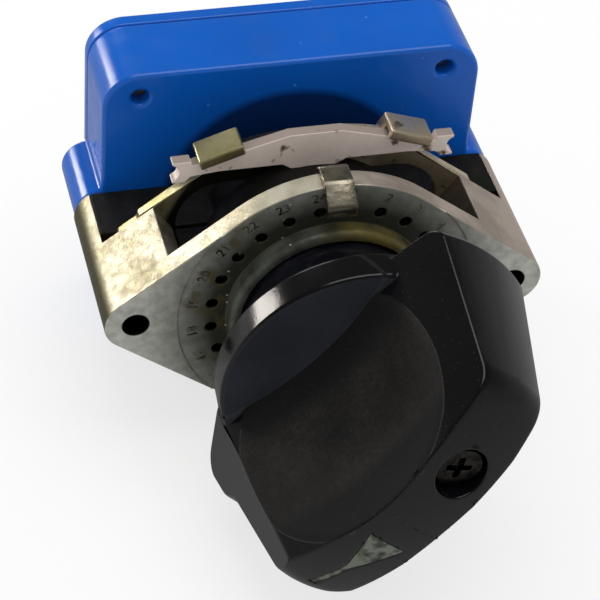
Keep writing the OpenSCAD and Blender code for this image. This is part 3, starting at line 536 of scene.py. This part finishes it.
def yellow_chromate():
    material, tree, shader = finish("yellow_chromate")
    uneven = effect(tree, patches, Scale=220.0, Low=0.38, High=0.64)
    olive = over(tree, uneven, tone("d2cb9b"), tone("a49c6c"))
    beige = over(tree, uneven, tone("ffeed4"), tone("e3d2b0"))
    colour = over(tree, along_axis(tree, 0, *olive_to_beige), olive, beige)
    bleached = effect(tree, patches, Scale=500.0, Low=0.6, High=0.7, Shift=(1.0, 7.0, 2.0))
    colour = over(tree, bleached, colour, tone("8f8c70"))
    edges = effect(tree, worn_edges, Radius=0.0003, Low=0.01, High=0.12)
    colour = over(tree, edges, colour, tone("e6d8ae"))
    # Painted shade: near black behind the bar on the left, with the metal dulled there.
    grime_and_shade = times(tree, along_axis(tree, 1, *bar_shade_front), from_shaft(tree, *bar_shade_edge),
                  along_axis(tree, 0, *bar_shade_side))
    tree.links.new(over(tree, grime_and_shade, colour, tone("100f0c")), shader.inputs["Base Color"])
    tree.links.new(level(tree, grime_and_shade, 0.95, 0.2), shader.inputs["Metallic"])
    tree.links.new(level(tree, uneven, 0.28, 0.46), shader.inputs["Roughness"])
    tree.links.new(effect(tree, skin, Scale=1500.0, Depth=0.00003), shader.inputs["Normal"])
    return material


bracket = dressed("strap_bracket", "frame", yellow_chromate(), edge=0.0003)
for corner in bracket.data.vertices:
    x, y, z = corner.co
    if abs(x) < bracket_dip_half and z > 0 and y > bracket_front and math.hypot(x, z) > bracket_edge_radius:
        corner.co.z -= bracket_dip * (1 - (x / bracket_dip_half) ** 2)


# Base spacer: the dark moulding between the bracket and the contact housing.
# It centres both on the posts and is never seen clean.
dressed("base_spacer", "frame", black_plastic, edge=0.0003)


# Contact housing and its rear cover: glossy blue mouldings with soft edges, held by
# steel screws. A little dust dulls them, and painted shade darkens the front behind
# the dark spacer.
front_shade_depth = (0.0232, 0.0222)
front_shade_edge = (0.0178, 0.0165)


def blue_gloss():
    material, tree, shader = finish("blue_gloss")
    cloudy = effect(tree, patches, Scale=60.0, Low=0.3, High=0.7)
    colour = over(tree, cloudy, tone("0b60c7"), tone("0a58b8"))
    dust = effect(tree, specks, Scale=700.0, Size=0.14, Share=0.04)
    colour = over(tree, dust, colour, tone("4a7fc0"))
    # Painted shade: the front is darker behind the dark spacer.
    painted_front_shade = times(tree, along_axis(tree, 1, *front_shade_depth), from_shaft(tree, *front_shade_edge))
    colour = over(tree, painted_front_shade, colour, tone("06285a"))
    tree.links.new(colour, shader.inputs["Base Color"])
    tree.links.new(level(tree, effect(tree, patches, Scale=240.0, Low=0.35, High=0.7), 0.16, 0.28),
                   shader.inputs["Roughness"])
    tree.links.new(effect(tree, skin, Scale=260.0, Depth=0.00002), shader.inputs["Normal"])
    return material


blue_plastic = blue_gloss()
dressed("housing", "frame", blue_plastic, edge=0.0006, segments=4)
dressed("rear_cover", "frame", blue_plastic, edge=0.0003)
for node in ("cover_screws", "frame_screws"):
    dressed(node, "frame", steel, edge=0.0001)


# Contacts: silvered brass studs and a brass ring in a laminate wafer, and the
# brass wiper riveted to the laminate rotor. Their pins stand out at the rear.
def laminate():
    material, tree, shader = finish("laminate", specular=0.4)
    paper = effect(tree, patches, Scale=500.0, Low=0.35, High=0.65, Stretch=(1.0, 6.0, 1.0))
    tree.links.new(over(tree, paper, tone("6a3f1e"), tone("4c2b13")), shader.inputs["Base Color"])
    tree.links.new(effect(tree, skin, Scale=1500.0, Depth=0.00002), shader.inputs["Normal"])
    return material


silvered = ground_steel("silvered", "d6d4cc", "98948a", grain=700.0)
phenolic = laminate()
dressed("stator", "frame", phenolic, edge=0.0001)
dressed("contact_rotor", "rotor", phenolic, edge=0.0001)
dressed("contact_studs", "frame", silvered, edge=0.00008)
dressed("common_ring", "frame", brass, edge=0.00008)
dressed("wiper", "rotor", brass, edge=0.00005)


# Shaft, spacer tube, washer and ring: bright turned steel. They carry the star
# wheel and the contact rotor, and the ring keeps them in the bushes.
for node in ("shaft", "spacer_tube", "thrust_washer", "retaining_ring"):
    dressed(node, "rotor", steel, edge=0.00008)


# Neck: a glossy black driver, fixed to the shaft by a grub screw. It flares out
# under the knob's hub and shows clean reflections.
def black_gloss():
    material, tree, shader = finish("black_gloss")
    smear = effect(tree, patches, Scale=240.0, Low=0.5, High=0.7)
    tree.links.new(over(tree, smear, tone("0c0d14"), tone("1c1c22")), shader.inputs["Base Color"])
    tree.links.new(level(tree, smear, 0.12, 0.34), shader.inputs["Roughness"])
    tree.links.new(effect(tree, skin, Scale=420.0, Depth=0.00001), shader.inputs["Normal"])
    return material


dressed("knob_neck", "rotor", black_gloss(), edge=0.0002)
dressed("neck_screw", "rotor", steel, edge=0.00006)


# Knob: a black moulding with a round hub and a crowned pistol grip. The scoops for
# the fingers are brown with skin grease and dust, in a band that is also painted light
# on their lit middle; the edges show fine scratches.
grip_turn = math.radians(47.7)
scoop_radius = 0.04
scoop_offset = 0.044
scoop_height = 0.03
hub_radius = 0.0173
hub_rear = 0.0087
hub_front = 0.0146
rear_round = 0.002
soft_depth = 0.0035
soft_length = 0.0026
front_chamfer = 0.0008
front_round = 0.0003
touch = 0.00001
scoop_skin = (0.0003, 0.0002)
brown_start = (-0.0172, -0.0196)
brown_end = (-0.0328, -0.0306)
hub_flat_depth = (-0.0149, -0.0147)
flat_facing = (0.97, 0.99)


def scooped(tree):
    here = put(tree, "TexCoord").outputs["Object"]
    masks = []
    for side in (-1, 1):
        centre = (-side * scoop_offset * math.sin(grip_turn), -scoop_height,
                  side * scoop_offset * math.cos(grip_turn))
        away = put(tree, "VectorMath", {0: here, 1: centre}, operation="DISTANCE").outputs["Value"]
        away = put(tree, "Math", {0: reckoned(tree, "SUBTRACT", away, scoop_radius)}, operation="ABSOLUTE")
        masks.append(rising(tree, away.outputs[0], *scoop_skin))
    return reckoned(tree, "MAXIMUM", *masks)


def black_moulding():
    material, tree, shader = finish("black_moulding")
    cloudy = effect(tree, patches, Scale=90.0, Low=0.35, High=0.65)
    colour = over(tree, cloudy, tone("070709"), tone("0b0b0e"))
    in_scoop = scooped(tree)
    # Dust and painted light: the brown band is kept to the scoops' lit middle, between the hub and the crown.
    dusty_lit_scoop = times(tree, in_scoop, along_axis(tree, 1, *brown_start), along_axis(tree, 1, *brown_end))
    dusty = effect(tree, patches, Scale=1800.0, Detail=6.0, Low=0.4, High=0.62)
    broad = effect(tree, patches, Scale=130.0, Low=0.32, High=0.58, Shift=(4.0, 2.0, 1.0))
    brown = times(tree, dusty_lit_scoop, level(tree, dusty, 0.45, 1.0), level(tree, broad, 0.4, 1.0))
    colour = over(tree, brown, colour, tone("221e18"))
    # Painted reflection: the hub's flat front gets a paler bluish sheen.
    painted_flat_sheen = times(tree, facing(tree, (0.0, -1.0, 0.0), *flat_facing), along_axis(tree, 1, *hub_flat_depth))
    flat_sheen_tone = over(tree, effect(tree, patches, Scale=110.0, Low=0.3, High=0.7), tone("32353c"), tone("282a30"))
    colour = over(tree, painted_flat_sheen, colour, flat_sheen_tone)
    edges = times(tree, effect(tree, worn_edges, Radius=0.0003, Low=0.02, High=0.2),
                  effect(tree, patches, Scale=200.0, Low=0.5, High=0.65))
    colour = over(tree, edges, colour, tone("2d2c2f"))
    colour = over(tree, effect(tree, specks, Scale=2400.0, Size=0.22, Share=0.16), colour, tone("222226"))
    colour = over(tree, effect(tree, specks, Scale=420.0, Size=0.08, Share=0.02), colour, tone("8f8a80"))
    tree.links.new(colour, shader.inputs["Base Color"])
    tree.links.new(level(tree, in_scoop, 0.16, 0.9), shader.inputs["Roughness"])
    tree.links.new(effect(tree, skin, Scale=2200.0, Depth=0.00001), shader.inputs["Normal"])
    return material


def rounded_rear(corner):
    out = math.hypot(corner.co.x, corner.co.z)
    from_rear = -corner.co.y - hub_rear
    if out > hub_radius - soft_depth and from_rear < soft_length:
        short = max(0.0, 1 - from_rear / soft_length)
        lost = soft_depth * (1 - math.sqrt(max(0.0, 1 - short ** 2)))
        inside = max(0.0, rear_round - from_rear)
        had = rear_round - math.sqrt(max(0.0, rear_round ** 2 - inside ** 2))
        fitted = 1 - (lost - had) / (hub_radius - had)
        corner.co.x *= fitted
        corner.co.z *= fitted


def crisp_front(corner):
    out = math.hypot(corner.co.x, corner.co.z)
    to_front = -corner.co.y - hub_front
    if hub_radius - front_chamfer < out < hub_radius + touch and -front_chamfer < to_front < touch:
        side = out - (hub_radius - front_round)
        rise = to_front + front_round
        if max(side, rise) > 0:
            reach = front_round / max(math.hypot(max(side, 0.0), max(rise, 0.0)), seam)
            fitted = (hub_radius - front_round + side * reach) / out if side > 0 else 1.0
            corner.co.x *= fitted
            corner.co.z *= fitted
            if rise > 0:
                corner.co.y = front_round - hub_front - rise * reach


knob = dressed("knob", "rotor", black_moulding(), edge=0.00025)
for corner in knob.data.vertices:
    rounded_rear(corner)
    crisp_front(corner)


# Knob screw: a blackened cross-recess screw at the bottom of its counterbore.
# Turning it has rubbed the edges of the recess bright.
blackened = ground_steel("blackened_steel", "3c3a37", "1f1d1b", grain=900.0)
dressed("knob_screw", "rotor", blackened, edge=0.00012)


# Pointer: a triangle and a line sunk in the grip's front. They are filled with pale
# paint, which is worn through.
def worn_paint():
    material, tree, shader = finish("worn_paint", roughness=0.6, specular=0.3)
    rubbed = effect(tree, patches, Scale=700.0, Detail=6.0, Low=0.42, High=0.6)
    colour = over(tree, rubbed, tone("6b7066"), tone("33372e"))
    green = effect(tree, patches, Scale=300.0, Low=0.55, High=0.65, Shift=(6.0, 1.0, 3.0))
    tree.links.new(over(tree, green, colour, tone("4c573d")), shader.inputs["Base Color"])
    tree.links.new(effect(tree, skin, Scale=2600.0, Depth=0.00003), shader.inputs["Normal"])
    return material


dressed("pointer_inlay", "rotor", worn_paint())


# Floor and surround: a plain pale floor just under the switch, and a white world.
# Both are dimmer in reflections than to the camera, as a room is round a light table.
floor_drop = 0.0002
floor_reach = 3.0
floor_mirror = 0.15
glow_share = 0.7


def seen_by(tree, *rays):
    path = put(tree, "LightPath").outputs
    return reckoned(tree, "MAXIMUM", *[path["Is " + ray + " Ray"] for ray in rays])


def pale_floor():
    material, tree, shader = finish("pale_floor", roughness=0.9, specular=0.1)
    shader.inputs["Base Color"].default_value = (0.92, 0.92, 0.92, 1)
    strength = level(tree, seen_by(tree, "Glossy"), 1.0, floor_mirror)
    glow = put(tree, "Emission", {"Color": (1, 1, 1, 1), "Strength": strength})
    share = times(tree, seen_by(tree, "Camera", "Glossy", "Transmission"), glow_share)
    mixed = put(tree, "MixShader", {0: share, 1: shader.outputs[0], 2: glow.outputs[0]})
    tree.links.new(mixed.outputs[0], tree.nodes["Material Output"].inputs["Surface"])
    return material


plane = bmesh.new()
bmesh.ops.create_grid(plane, x_segments=1, y_segments=1, size=floor_reach,
                      matrix=Matrix.Translation((0, 0, cad_box[0].z - floor_drop)))
floor = piece_from(plane, "floor", pale_floor(), smooth=False)

horizon_height, zenith_height = 0.1, 0.45
horizon_mirror, zenith_mirror = 0.3, 0.08
even_light = 0.62

world = bpy.data.worlds.new("surround")
bpy.context.scene.world = world
world.use_nodes = True
tree = world.node_tree
direction = put(tree, "SeparateXYZ", {0: put(tree, "TexCoord").outputs["Generated"]})
mirrored = put(tree, "MapRange", {0: direction.outputs[2], 1: horizon_height, 2: zenith_height,
                                  3: horizon_mirror, 4: zenith_mirror})
mirrored = times(tree, seen_by(tree, "Glossy"), mirrored.outputs[0])
scattered = times(tree, seen_by(tree, "Diffuse"), even_light)
strength = reckoned(tree, "MAXIMUM", seen_by(tree, "Camera", "Transmission"), mirrored, scattered)
tree.nodes["Background"].inputs["Color"].default_value = (1, 1, 1, 1)
tree.links.new(strength, tree.nodes["Background"].inputs["Strength"])


# Lamps: a small warm one behind on the left as a window gives, a wider one behind
# for the hub's rear rim, and a large soft one overhead.
def placed(azimuth, elevation, distance):
    azimuth, elevation = math.radians(azimuth), math.radians(elevation)
    along_floor = distance * math.cos(elevation)
    return Vector((along_floor * math.sin(azimuth), along_floor * math.cos(azimuth),
                   distance * math.sin(elevation)))


def soft_lamp(name, place, width, height, power, colour=(1.0, 1.0, 1.0)):
    lamp = bpy.data.lights.new(name, "AREA")
    lamp.shape = "RECTANGLE"
    lamp.size = width
    lamp.size_y = height
    lamp.energy = power
    lamp.color = colour
    stand = bpy.data.objects.new(name, lamp)
    stand.location = place
    stand.rotation_euler = (-place).to_track_quat("-Z", "Y").to_euler()
    bpy.context.scene.collection.objects.link(stand)


soft_lamp("window_lamp", placed(azimuth=-43.5, elevation=13.5, distance=0.5), width=0.11, height=0.15,
          power=0.68, colour=(1.0, 0.94, 0.87))
soft_lamp("sky_lamp", placed(azimuth=-8.0, elevation=20.0, distance=0.6), width=0.2, height=0.2, power=0.4)
soft_lamp("overhead_lamp", Vector((0.1, 0.0, 0.7)), width=0.6, height=0.6, power=2.2)


# Camera: at the photograph's viewing angle, with its long lens and slight roll.
# Its place was found from the ear holes, taken as 50 mm apart.
eye = Vector((-0.069886, -0.210335, 0.200545))
azimuth, elevation, roll = (math.radians(a) for a in (-17.474, 42.146, 5.132))
back = Vector((math.sin(azimuth) * math.cos(elevation), -math.cos(azimuth) * math.cos(elevation),
               math.sin(elevation)))
level_right = (-back).cross(Vector((0, 0, 1))).normalized()
level_up = level_right.cross(-back)
right = math.cos(roll) * level_right + math.sin(roll) * level_up
above = math.cos(roll) * level_up - math.sin(roll) * level_right
view = bpy.data.objects.new("camera", bpy.data.cameras.new("camera"))
view.data.sensor_width = 36
view.data.lens = 139.59
view.data.clip_start = 0.01
view.matrix_world = Matrix.Translation(eye) @ Matrix((right, above, back)).transposed().to_4x4()
bpy.context.scene.collection.objects.link(view)
bpy.context.scene.camera = view
bpy.context.scene.view_settings.view_transform = "Standard"
